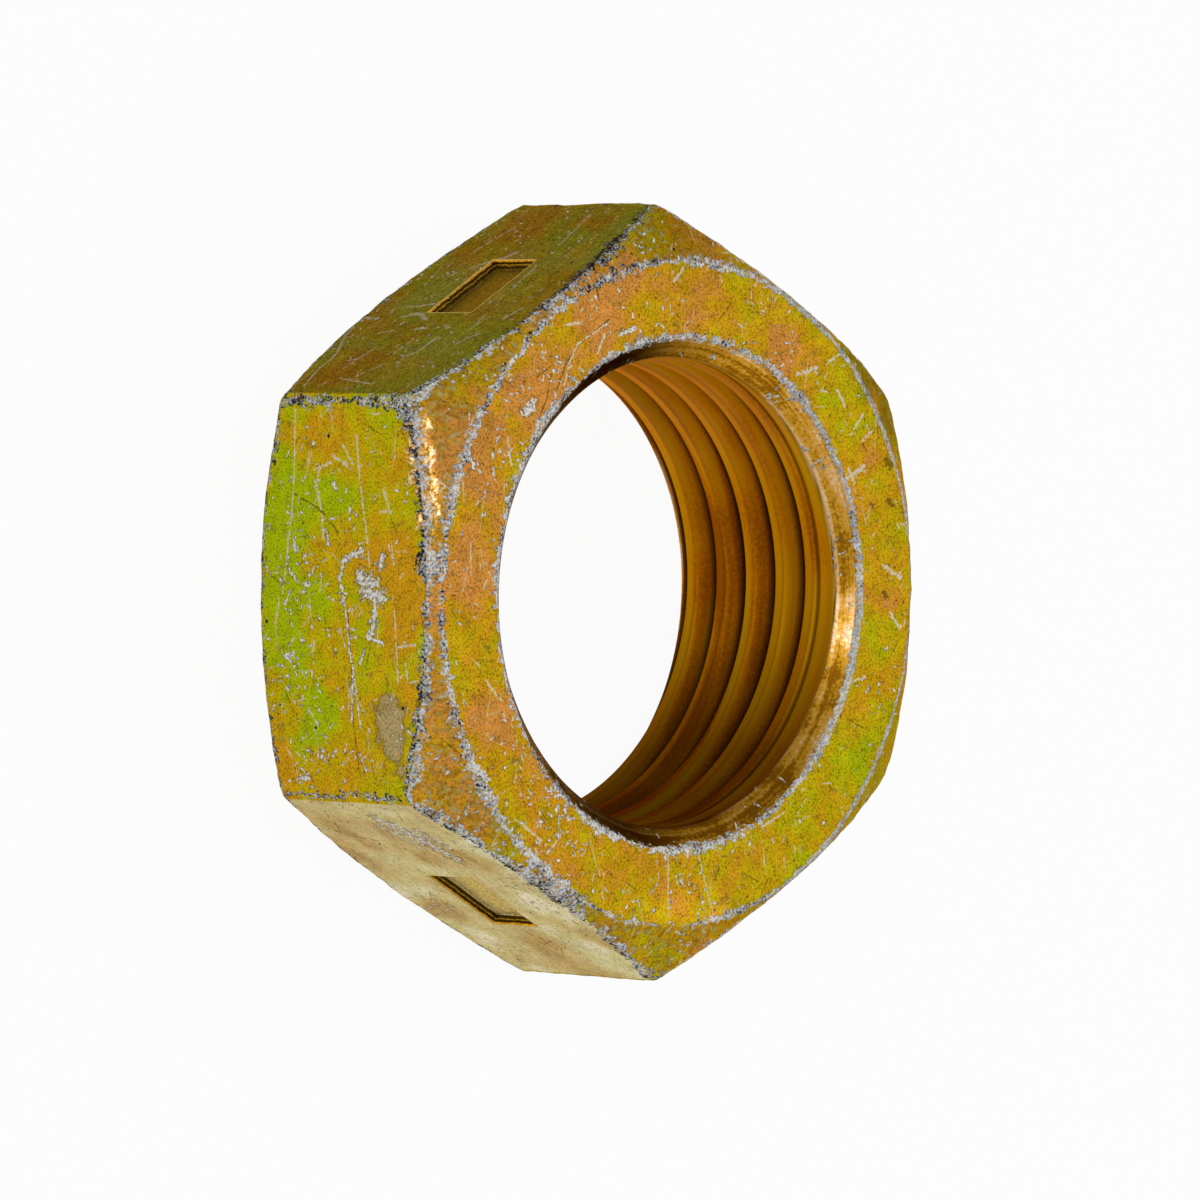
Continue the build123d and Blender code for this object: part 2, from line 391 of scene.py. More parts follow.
# Painted reflection of the white table: a pale film with patchy colour over the flats that face it
PALE_REFLECTION_HUES = (
    (0.3, (0.5, 0.39, 0.23)), (0.45, (0.64, 0.55, 0.34)), (0.58, (0.68, 0.66, 0.41)),
    (0.75, (0.85, 0.83, 0.7)),
)
CRACK = (0.13, 0.07, 0.01)
STAIN_BORDER = (0.2, 0.12, 0.02)
STAIN_MIDDLE = (0.37, 0.28, 0.14)
MOTTLE_HUES = (
    (0.35, (0.27, 0.12, 0.008)), (0.46, (0.46, 0.21, 0.02)), (0.54, (0.38, 0.33, 0.06)),
    (0.62, (0.48, 0.44, 0.22)),
)
SCRATCH = (0.55, 0.42, 0.16)
SCRATCH_PALE = (0.66, 0.58, 0.42)
# Dark rim round bare spots: partly grime, partly painted shade of the flakes' relief
SPOT_GRIME_AND_SHADE = (0.1, 0.06, 0.01)
PIT = (0.015, 0.012, 0.01)
POCKET_LIP = (0.5, 0.4, 0.16)
# Pocket floor where its flat carries the painted pale reflection
PALE_REFLECTION_FLOOR = (0.72, 0.58, 0.24)
# Burnished metal, its pale grains partly a painted highlight
BURNISH_GLINT_HUES = (
    (0.35, (0.42, 0.2, 0.02)), (0.5, (0.8, 0.45, 0.12)), (0.65, (0.9, 0.72, 0.5)),
)
METAL_SPOTS = (
    (0.37, (0.3, 0.29, 0.27)), (0.48, (0.6, 0.57, 0.49)), (0.6, (0.76, 0.75, 0.7)),
)
METAL_GRAINS = (
    (0.28, (0.02, 0.02, 0.025)), (0.37, (0.11, 0.12, 0.14)), (0.46, (0.33, 0.34, 0.36)),
    (0.58, (0.52, 0.52, 0.5)), (0.7, (0.74, 0.74, 0.72)),
)
THREAD_HUES = (
    (0.3, (0.24, 0.068, 0.001)), (0.45, (0.37, 0.122, 0.001)), (0.55, (0.42, 0.165, 0.001)),
    (0.75, (0.4, 0.21, 0.003)),
)
# Painted highlight on the thread's crests towards +Y, where they catch the light
CREST_HIGHLIGHT = (0.5, 0.21, 0.025)
# Painted shade in the thread's grooves
GROOVE_SHADE = (0.012, 0.005, 0.001)
SINK_HUES = (
    (0.3, (0.25, 0.1, 0.004)), (0.45, (0.5, 0.26, 0.012)), (0.58, (0.62, 0.32, 0.07)),
    (0.7, (0.7, 0.5, 0.28)),
)
# Pocket colours from the lip to the floor: gold lip and ledge, painted shade on the walls and along the
# floor's edge, then the floor
POCKET_HUES_AND_SHADE = (
    (0.0, (0.76, 0.42, 0.04)), (0.14, (0.72, 0.34, 0.012)), (0.26, (0.03, 0.014, 0.002)),
    (0.42, (0.05, 0.025, 0.003)), (0.52, (0.42, 0.24, 0.02)), (0.62, (0.05, 0.025, 0.003)),
    (0.86, (0.08, 0.04, 0.004)), (0.97, (0.17, 0.1, 0.006)),
)

# Tint of reflections at low angles
OUTER_SHEEN = (0.9, 0.58, 0.1)
BORE_SHEEN = (0.55, 0.28, 0.05)

# Each zone of the mesh wears its own material, with the marks that were drawn for it
ZONES = ("plain", "upper_left", "left", "lower_left", "upper_face", "bore")
SIDE_ZONES = {2: "upper_left", 3: "left", 4: "lower_left"}

# Seeded, so that each run gives the same dents
rng = np.random.default_rng(16)


def on_left(place):
    """Point on the left flat, from its place along it and its height."""
    return (-HALF, place[0], place[1])


def on_upper_left(place):
    """Point on the upper-left flat, from its place along it and its height."""
    cos, sin = math.cos(2 * FLAT_TURN), math.sin(2 * FLAT_TURN)
    return (cos * HALF - sin * place[0], sin * HALF + cos * place[0], place[1])


def on_face(place):
    """Point on the upper face."""
    return (place[0], place[1], HEIGHT)


def in_space(place):
    """Point that is given in space."""
    return place


def wobble(points, size, seed):
    """Smooth noise from -1 to 1 at each point, with bumps about as wide as size."""
    shift = Vector((seed * 7.3, seed * 3.1, seed * 5.7))
    return np.array([noise.noise(Vector(point) / size + shift) for point in points])


def blend_max(a, b, width):
    """The larger of a and b, rounded off where they are within width of each other."""
    near = np.maximum(width - np.abs(a - b), 0) / width
    return np.maximum(a, b) + near * near * width / 4


def planes(points):
    """Signed distances of points above the nearest two flats, the chamfers, faces and countersinks."""
    x, y, z = points.T
    radius = np.hypot(x - TURNING_X, y)
    turns = FLAT_TURN * np.arange(SIDES)
    flats = np.sort(np.outer(x, np.cos(turns)) + np.outer(y, np.sin(turns)) - HALF, axis=1)
    face = np.maximum(z - HEIGHT, -z)
    chamfer = (radius - RING_RADIUS) * math.sin(CHAMFER) + face * math.cos(CHAMFER)
    sink = (MOUTH_RADIUS - radius + face) / math.sqrt(2)
    return flats[:, -1], flats[:, -2], chamfer, face, sink


def skin(points, ragged):
    """Signed distance above the worn body. The edges' rounding is scaled by ragged."""
    flat, next_flat, chamfer, face, sink = planes(points)
    body = blend_max(flat, next_flat, CORNER_BLEND * ragged)
    body = blend_max(body, chamfer, CHAMFER_BLEND * ragged)
    body = blend_max(body, face, RING_BLEND * ragged)
    return blend_max(body, sink, MOUTH_BLEND * ragged)


def wear_down(points, dents, rounding):
    """Moves points of the sharp body in to the worn one, deeper at dents and rounder by rounding."""
    ragged = 1 + EXTRA_ROUNDING * np.minimum(rounding, 1)
    for seed, (share, size) in enumerate(RAGGED, start=1):
        ragged = ragged + share * wobble(points, size, seed)
    worn = points.copy()
    for extra in (dents, 0, 0):
        level = skin(worn, ragged)
        ahead = [skin(worn + SLOPE_STEP * axis, ragged) for axis in np.eye(3)]
        slope = (np.stack(ahead, axis=1) - level[:, None]) / SLOPE_STEP
        inward = np.maximum(level + extra, 0) / np.maximum((slope ** 2).sum(axis=1), LEAST_SLOPE)
        worn -= slope * inward[:, None]
    return worn


def edge_reach(points):
    """How near each point is to a worn edge: 1 on the edge, 0 at the worn band's border, -1 beyond."""
    flat, next_flat, chamfer, face, sink = planes(points)
    # Two surfaces that meet, the angle by which the edge turns, and the band's half-width
    edges = (
        (flat, next_flat, 60, CORNER_WEAR),
        (flat, chamfer, 60, CHAMFER_WEAR),
        (chamfer, face, 30, RING_WEAR),
        (face, sink, 45, MOUTH_WEAR),
    )
    reach = np.full(len(points), -1.0)
    for a, b, angle, width in edges:
        away = np.maximum(-a, -b) / math.sin(math.radians(angle))
        reach = np.maximum(reach, 1 - away / width)
    return reach


def stamp_offset(flat):
    """How far along its flat a pocket's middle is."""
    return -math.sin(FLAT_TURN * flat) * STAMP_SHIFT_X


def wall_stops(half_size):
    """Grid lines that follow a pocket's floor, wall and rim, outwards from its middle."""
    wall = POCKET_RUN * np.linspace(1 + WALL_MARGIN, -WALL_MARGIN, WALL_LINES)
    inward = np.concatenate([LINES_INSIDE_WALL, wall, LINES_OUTSIDE_WALL])
    return half_size - inward


def flat_stops(flat):
    """Where the grid's columns cross a flat, measured along it from its middle."""
    reach = (HALF - CORNER_RADIUS) * math.tan(FLAT_TURN / 2)
    stops = np.linspace(-reach, reach, FLAT_STEPS)
    if flat in POCKET_FLATS:
        walls = wall_stops(POCKET_LENGTH / 2)
        special = np.concatenate([stamp_offset(flat) - walls, stamp_offset(flat) + walls])
        apart = np.abs(stops[:, None] - special[None, :]).min(axis=1)
        stops = np.sort(np.concatenate([stops[apart > CLEAR_OF_WALL], special]))
    return stops


# What an outline's column holds after x and y: its flat, its place along it, how far round it is, and
# 1 on corners
FLAT, ALONG, RUN, ON_CORNER = 2, 3, 4, 5


def outline():
    """Columns round the hexagon, as rows of an array, and how far it is round it."""
    columns = []
    run = 0.0
    for flat in range(SIDES):
        turn = FLAT_TURN * flat
        normal = np.array([math.cos(turn), math.sin(turn)])
        along = np.array([-math.sin(turn), math.cos(turn)])
        stops = flat_stops(flat)
        for stop in stops:
            x, y = normal * HALF + along * stop
            columns.append((x, y, flat, stop, run + stop - stops[0], 0))
        run += stops[-1] - stops[0]
        centre = normal * (HALF - CORNER_RADIUS) + along * stops[-1]
        for part in range(1, CORNER_STEPS):
            swing = FLAT_TURN * part / CORNER_STEPS
            x = centre[0] + CORNER_RADIUS * math.cos(turn + swing)
            y = centre[1] + CORNER_RADIUS * math.sin(turn + swing)
            bend = CORNER_RADIUS * swing
            columns.append((x, y, flat, stops[-1] + bend, run + bend, 1))
        run += CORNER_RADIUS * FLAT_TURN
    return np.array(columns), run


def upper_rows(x, y):
    """Rows of the outside, from a ring on the upper face out and down to mid-height."""
    radius = np.hypot(x - TURNING_X, y)
    out_x = (x - TURNING_X) / radius
    out_y = y / radius
    rows = []
    for inset in RING_INSETS:
        r = RING_RADIUS - inset
        rows.append(("face", TURNING_X + out_x * r, out_y * r, np.full_like(radius, HEIGHT)))
    for share in CHAMFER_SHARES:
        r = RING_RADIUS + share * (radius - RING_RADIUS)
        drop = (r - RING_RADIUS) * math.tan(CHAMFER)
        rows.append(("chamfer", TURNING_X + out_x * r, out_y * r, HEIGHT - drop))
    edge = HEIGHT - (radius - RING_RADIUS) * math.tan(CHAMFER)
    for drop in SIDE_DROPS:
        rows.append(("side", x, y, edge - drop))
    stops = wall_stops(POCKET_WIDTH / 2)[::-1]
    for share in SIDE_SHARES:
        rows.append(("side", x, y, (edge - SIDE_DROPS[-1]) * (1 - share) + (MID + stops[0]) * share))
    for stop in stops:
        rows.append(("side", x, y, np.full_like(radius, MID + stop)))
    return rows


def pocket_depth(columns, z):
    """Depth of the stamped pockets along a row of the sides, and how near their rim it passes."""
    depth = np.zeros(len(columns))
    rim = np.full(len(columns), -1.0)
    places = np.stack([columns[:, 0], columns[:, 1], z], axis=1)
    uneven = sum(reach * wobble(places, size, seed) for seed, (reach, size) in enumerate(UNEVEN, start=7))
    for flat in POCKET_FLATS:
        away = np.abs(columns[:, ALONG] - stamp_offset(flat))
        here = (columns[:, FLAT] == flat) & (away < POCKET_LENGTH)
        inside = np.minimum(POCKET_LENGTH / 2 - away, POCKET_WIDTH / 2 - np.abs(z - MID)) + uneven
        share = np.clip(inside / POCKET_RUN, 0, 1)
        two_steps = share - WALL_STEP * np.sin(2 * TURN * share) / (2 * TURN)
        depth = np.where(here, POCKET_DEPTH * two_steps, depth)
        rim = np.where(here, 1 - np.abs(inside) / POCKET_WEAR, rim)
    return depth, rim


def thread_radius(angle, z):
    """Radius of the threaded wall, with its crests eased."""
    turns = (z - GROOVE_HEIGHT_AT_X) / PITCH - angle / TURN
    off = np.abs(turns - np.round(turns)) * PITCH
    flank = ROOT_RADIUS - (off - ROOT_FLAT / 2) / FLANK_SLOPE
    return blend_max(np.minimum(flank, ROOT_RADIUS), np.full_like(z, CREST_RADIUS), CREST_BLEND)


# What was drawn on each zone: scratches, bare spots, dark lines, and how to place them
DRAWN = {
    "upper_left": (UPPER_LEFT_SCRATCHES, (), (), on_upper_left),
    "left": (LEFT_SCRATCHES, LEFT_BARE, LEFT_CRACKS, on_left),
    "upper_face": (FACE_SCRATCHES, FACE_BARE, FACE_CRACKS, on_face),
    "lower_left": ((), SIDE_BARE, SIDE_CRACKS, in_space),
}


# The marks that blooms add to, and how to place them
PLACED = (
    ("hue", LEFT_BLOOMS, on_left),
    ("hue", FACE_BLOOMS, on_face),
    ("hue", SIDE_BLOOMS, in_space),
    ("hue", GREEN_BLOOMS, in_space),
    ("stain", STAINS, on_left),
    ("flecks", FLECK_BLOOMS, in_space),
    ("reach", WEAR_BLOOMS, in_space),
    ("burnish_glint", BURNISH_GLINT_BLOOMS, in_space),
    ("tarnish", TARNISH_BLOOMS, in_space),
)


def bloom(points, spots, lift):
    """Adds up soft spots, each at full strength in its middle and fading out at its size."""
    uneven = 1 + BLOOM_UNEVEN * wobble(points, BLOOM_GRAIN, 5)
    total = np.zeros(len(points))
    for centre, size, strength in spots:
        away = np.linalg.norm(points - np.array(lift(centre)), axis=1) / size * uneven
        total += strength * np.clip(BLOOM_REACH_SQUARED - away ** 2, 0, 1)
    return total


class Shell:
    """Points, faces and per-point marks of the mesh while it is put together."""

    def __init__(self):
        self.points = []
        self.faces = []
        self.places = []
        self.zones = []
        self.marks = {name: [] for name in MARKS}
        self.count = 0

    def add(self, points, **marks):
        """Adds points with their marks, and returns their numbers."""
        first = self.count
        self.points.append(points)
        self.count += len(points)
        for name in MARKS:
            self.marks[name].append(np.broadcast_to(marks.get(name, 0.0), len(points)))
        return np.arange(first, first + len(points))

    def face(self, corners, places, zone):
        """Adds a face with its places on the map, leaving out corners that fall together."""
        kept = []
        where = []
        for corner, place in zip(corners, places):
            if corner not in kept:
                kept.append(corner)
                where.append(place)
        if len(kept) > 2:
            self.faces.append(kept)
            self.places.extend(where)
            self.zones.append(ZONES.index(zone))


def face_tone(x, y):
    """How green the turned faces are at a place."""
    return FACE_HUE + FACE_HUE_X * x + FACE_HUE_Y * y


def column_tones(flats, on_corner):
    """Hue, painted shade and painted pale reflection of each column.
    A corner is as bright as the brighter flat beside it.
    """
    hues, shades, pale_reflections = np.array(FLAT_TONES)[flats].T
    next_shades = np.array(FLAT_TONES)[(flats + 1) % SIDES, 1]
    hues = np.where(on_corner, CORNER_HUE, hues)
    shades = np.where(on_corner, np.maximum(shades, next_shades), shades)
    return hues, shades, np.where(on_corner, 0.0, pale_reflections)


def add_row(shell, columns, kind, x, y, z):
    """Adds one row of the outside, pressed in at the pockets, with its marks."""
    points = np.stack([x, y, z], axis=1)
    reach = edge_reach(points)
    if kind == "side":
        flats = columns[:, FLAT].astype(int)
        outward = np.stack([np.cos(FLAT_TURN * flats), np.sin(FLAT_TURN * flats), 0 * flats], axis=1)
        hues, shades, pale_reflections = column_tones(flats, columns[:, ON_CORNER] > 0)
        depth, rim = pocket_depth(columns, z)
        return shell.add(
            points - depth[:, None] * outward, reach=reach, rim=rim, side=1.0,
            pocket=depth / POCKET_DEPTH, hue=hues, shade=shades, milk=pale_reflections)
    on_chamfer = float(kind == "chamfer")
    # Painted light on the chamfers, brighter towards -X
    return shell.add(
        points, reach=reach, chamfer=on_chamfer, hue=face_tone(x, y) + CHAMFER_HUE * on_chamfer,
        shade=1 + CHAMFER_SHADE * np.maximum(-x, 0) * on_chamfer)


def add_outside(shell):
    """The faces, chamfers and sides, as a grid of columns and rows. Returns its two inner rings."""
    columns, perimeter = outline()
    x, y = columns[:, 0], columns[:, 1]
    upper = upper_rows(x, y)
    rows = upper + [(kind, a, b, HEIGHT - z) for kind, a, b, z in reversed(upper)]
    numbers = [add_row(shell, columns, *row) for row in rows]
    kinds, row_x, row_y, row_z = zip(*rows)
    run = np.append(columns[:, RUN], perimeter)
    for row in range(len(rows) - 1):
        on_side = "side" in kinds[row:row + 2]
        for column in range(len(x)):
            after = (column + 1) % len(x)
            corners = ((row, column, column), (row + 1, column, column),
                       (row + 1, after, column + 1), (row, after, column + 1))
            if on_side:
                places = [(run[end], row_z[r][c]) for r, c, end in corners]
                zone = SIDE_ZONES.get(columns[column, FLAT], "plain")
            else:
                places = [(row_y[r][c], row_x[r][c]) for r, c, end in corners]
                zone = "upper_face" if row < len(upper) and kinds[row + 1] == "face" else "plain"
            shell.face([numbers[r][c] for r, c, end in corners], places, zone)
    angles = np.arctan2(y, x - TURNING_X)
    return angles, numbers[0], numbers[-1]


def last_groove(angle):
    """Height of the last groove's middle at an angle."""
    return GROOVE_HEIGHT_AT_X + (LAST_GROOVE + math.remainder(angle, TURN) / TURN) * PITCH


def ridge_share(angle):
    """How much of the pressed ridge there is at an angle: it fades out towards -X from both sides."""
    return min(math.pi - abs(math.remainder(angle, TURN)), RIDGE_FADE) / RIDGE_FADE


def press_ridge(angle, z, wall):
    """Wall with the pressed ridge in its last groove, and 1 where the ridge is."""
    off = z - last_groove(angle) - RIDGE_START
    across = off / RIDGE_HALF - 1
    ridge = RIDGE_RADIUS - RIDGE_BULGE * np.clip(1 - across ** 2, 0, 1)
    share = np.clip(off / RIDGE_EASE + 0.5, 0, 1) * ridge_share(angle)
    pressed = wall + (np.minimum(wall, ridge) - wall) * share
    return pressed, share * (across < RIDGE_END)


def pitch_stops():
    """Rows of the thread's grid within one pitch, measured from one groove's middle."""
    opening = ROOT_FLAT / 2 + (ROOT_RADIUS - CREST_RADIUS) * FLANK_SLOPE
    half = [*ROOT_LINES, *(opening + line for line in CREST_LINES)]
    return np.array(half + [PITCH - stop for stop in half[:0:-1]])


def bore_tone(angle, on_cone):
    """Painted light and shade of the bore's plating at an angle, and how golden it is, on the thread and
    on the cones.
    """
    degrees = math.degrees(math.remainder(angle, TURN))
    thread_shade = np.interp(math.sin(angle), *zip(*THREAD_SHADES))
    cone_shade = np.interp(degrees, *zip(*CONE_SHADES))
    thread_hue = THREAD_HUE * math.sin(angle)
    cone_hue = np.interp(degrees, *zip(*CONE_HUES))
    shade = thread_shade + (cone_shade - thread_shade) * on_cone
    return shade, thread_hue + (cone_hue - thread_hue) * on_cone


def add_mouth(shell, angle, level):
    """Adds one column of a face's inner rings, from the countersink outwards."""
    points = np.outer(MOUTH_RINGS, (math.cos(angle), math.sin(angle), 0)) + (TURNING_X, 0, level)
    hue = face_tone(points[:, 0], points[:, 1])
    return shell.add(points, reach=edge_reach(points), hue=hue, shade=1.0)


def add_wall(shell, angle, z):
    """Adds one column of the thread and both countersinks."""
    wall, ridge = press_ridge(angle, z, thread_radius(angle, z))
    cone = MOUTH_RADIUS - np.minimum(z, HEIGHT - z)
    radius = blend_max(wall, cone, SINK_BLEND)
    points = np.stack([TURNING_X + radius * math.cos(angle), radius * math.sin(angle), z], axis=1)
    seam = np.exp(-((cone - wall) / SEAM_WIDTH) ** 2)
    above_gap = z - last_groove(angle) - RIDGE_START + RIDGE_GAP
    seam += ridge_share(angle) * np.exp(-(above_gap / GAP_WIDTH) ** 2)
    # The seams take the grooves' painted shade
    depth = (wall - CREST_RADIUS) / (ROOT_RADIUS - CREST_RADIUS) + SEAM_DEPTH * seam * (z > MID)
    sink = np.clip((cone - wall) / SINK_EDGE, 0, 1)
    bore = np.clip((wall - cone) / SINK_EDGE, 0, 1)
    # Painted light and shade of the bore, by angle
    shade, hue = bore_tone(angle, sink)
    hue += RIDGE_HUE * ridge * (1 - sink)
    return shell.add(
        points, reach=edge_reach(points), shade=shade, sink=sink, bore=bore, hue=hue, depth=depth)


def close_wall(shell, column, angles, starts, numbers):
    """Adds the faces from one column of the wall to the next. The last meets the first a pitch higher."""
    pitch_rows = len(pitch_stops())
    after = (column + 1) % BORE_COLUMNS
    skip = 0 if after else pitch_rows
    ends = angles[column:column + 2]
    for row in range(len(starts) - 1 - pitch_rows):
        corners = (numbers[column, row], numbers[column, row + 1],
                   numbers[after, row + 1 + skip], numbers[after, row + skip])
        places = [(ends[end] * CREST_RADIUS, starts[r] + ends[end] / TURN * PITCH)
                  for end, r in ((0, row), (0, row + 1), (1, row + 1), (1, row))]
        shell.face(corners, places, "bore")


def close_mouth(shell, column, angles, numbers, zone):
    """Adds the faces from one column of a face's inner rings to the next."""
    after = (column + 1) % BORE_COLUMNS
    for ring in range(len(MOUTH_RINGS) - 1):
        corners = ((column, ring), (column, ring + 1), (after, ring + 1), (after, ring))
        places = [(MOUTH_RINGS[r] * math.sin(angles[c]), TURNING_X + MOUTH_RINGS[r] * math.cos(angles[c]))
                  for c, r in corners]
        shell.face([numbers[c][r] for c, r in corners], places, zone)


def add_bore(shell):
    """The thread, countersinks and inner rings of both faces. Returns the two outer rings."""
    turns = range(-2, math.ceil(HEIGHT / PITCH) + 1)
    starts = np.concatenate([GROOVE_HEIGHT_AT_X + turn * PITCH + pitch_stops() for turn in turns])
    angles = np.linspace(0, TURN, BORE_COLUMNS + 1)
    numbers = np.zeros((BORE_COLUMNS, len(starts)), dtype=int)
    lower, upper = [], []
    for column, angle in enumerate(angles[:-1]):
        lower.append(add_mouth(shell, angle, 0.0))
        upper.append(add_mouth(shell, angle, HEIGHT))
        heights = starts + angle / TURN * PITCH
        inside = (heights > 0) & (heights < HEIGHT)
        numbers[column, inside] = add_wall(shell, angle, heights[inside])
        numbers[column, heights <= 0] = lower[-1][0]
        numbers[column, heights >= HEIGHT] = upper[-1][0]
    for column in range(BORE_COLUMNS):
        close_wall(shell, column, angles, starts, numbers)
        close_mouth(shell, column, angles, lower, "plain")
        close_mouth(shell, column, angles, upper, "upper_face")
    return angles[:-1], [rings[-1] for rings in upper], [rings[-1] for rings in lower]


def stitch(shell, inner, inner_angles, outer, outer_angles, zone):
    """Triangles between two rings of points round the axis, matched by their angles."""
    points = np.concatenate(shell.points)
    order = np.argsort(np.mod(outer_angles, TURN))
    outer = np.asarray(outer)[order]
    outer_angles = np.mod(outer_angles, TURN)[order]
    inner_ends = np.append(inner_angles[1:], inner_angles[0] + TURN)
    outer_ends = np.append(outer_angles[1:], outer_angles[0] + TURN)
    i = j = 0
    while i < len(inner) or j < len(outer):
        near, far = inner[i % len(inner)], outer[j % len(outer)]
        if j >= len(outer) or (i < len(inner) and inner_ends[i] <= outer_ends[j]):
            i += 1
            corners = (near, far, inner[i % len(inner)])
        else:
            j += 1
            corners = (near, far, outer[j % len(outer)])
        shell.face(corners, [(points[corner][1], points[corner][0]) for corner in corners], zone)


def place_blooms(points, marks):
    """Adds the blooms to the marks. The painted shade and light of SHADE_BLOOMS go only off the flats."""
    for name, spots, lift in PLACED:
        marks[name] = marks[name] + bloom(points, spots, lift)
    marks["shade"] = marks["shade"] + bloom(points, SHADE_BLOOMS, in_space) * (1 - marks["side"])


def edge_dents(points, marks):
    """Depth of small dents scattered along the outer edges."""
    on_edge = np.flatnonzero((marks["reach"] > 0.5) & (marks["bore"] < 0.1) & (marks["pocket"] < 0.01))
    depth = np.zeros(len(points))
    for centre in rng.choice(on_edge, DENTS, replace=False):
        size = rng.uniform(*DENT_SIZE)
        away = ((points - points[centre]) ** 2).sum(axis=1)
        depth += rng.uniform(*DENT_DEPTH) * size * np.exp(-away / size ** 2)
    return depth * np.clip(marks["reach"] * 2, 0, 1)


def marked_mesh(shell, points, marks):
    """The mesh itself, with its marks, its map of places in millimetres and its zones."""
    mesh = bpy.data.meshes.new("plated_nut")
    mesh.from_pydata((points * MM).tolist(), [], shell.faces)
    for name, values in marks.items():
        layer = mesh.attributes.new(name, "FLOAT", "POINT")
        layer.data.foreach_set("value", values.astype(np.float32))
    place_map = mesh.uv_layers.new(name="places")
    place_map.data.foreach_set("uv", np.asarray(shell.places, dtype=np.float32).ravel())
    mesh.polygons.foreach_set("material_index", shell.zones)
    work = bmesh.new()
    work.from_mesh(mesh)
    bmesh.ops.recalc_face_normals(work, faces=work.faces)
    work.to_mesh(mesh)
    work.free()
    mesh.shade_smooth()
    return mesh


def nut_mesh():
    """The whole nut as one closed mesh, put together sharp and then worn down."""
    shell = Shell()
    outer_angles, outer_top, outer_bottom = add_outside(shell)
    inner_angles, inner_top, inner_bottom = add_bore(shell)
    stitch(shell, inner_top, inner_angles, outer_top, outer_angles, "upper_face")
    stitch(shell, inner_bottom, inner_angles, outer_bottom, outer_angles, "plain")
    points = np.concatenate(shell.points)
    marks = {name: np.concatenate(parts) for name, parts in shell.marks.items()}
    place_blooms(points, marks)
    dents = edge_dents(points, marks)
    rounding = marks["burnish_glint"] + bloom(points, ROUND_BLOOMS, in_space)
    outside = (marks["bore"] < 0.5) & (marks["pocket"] < 0.001)
    points[outside] = wear_down(points[outside], dents[outside], rounding[outside])
    return marked_mesh(shell, points, marks)


class Number:
    """A number that a node gives out. Arithmetic with it adds the nodes that work it out."""

    def __init__(self, graph, socket):
        self.graph = graph
        self.socket = socket

    def __add__(self, other):
        return self.graph.math("ADD", self, other)

    def __sub__(self, other):
        return self.graph.math("SUBTRACT", self, other)

    def __rsub__(self, other):
        return self.graph.math("SUBTRACT", other, self)

    def __mul__(self, other):
        return self.graph.math("MULTIPLY", self, other)

    def __truediv__(self, other):
        return self.graph.math("DIVIDE", self, other)

    __radd__ = __add__
    __rmul__ = __mul__


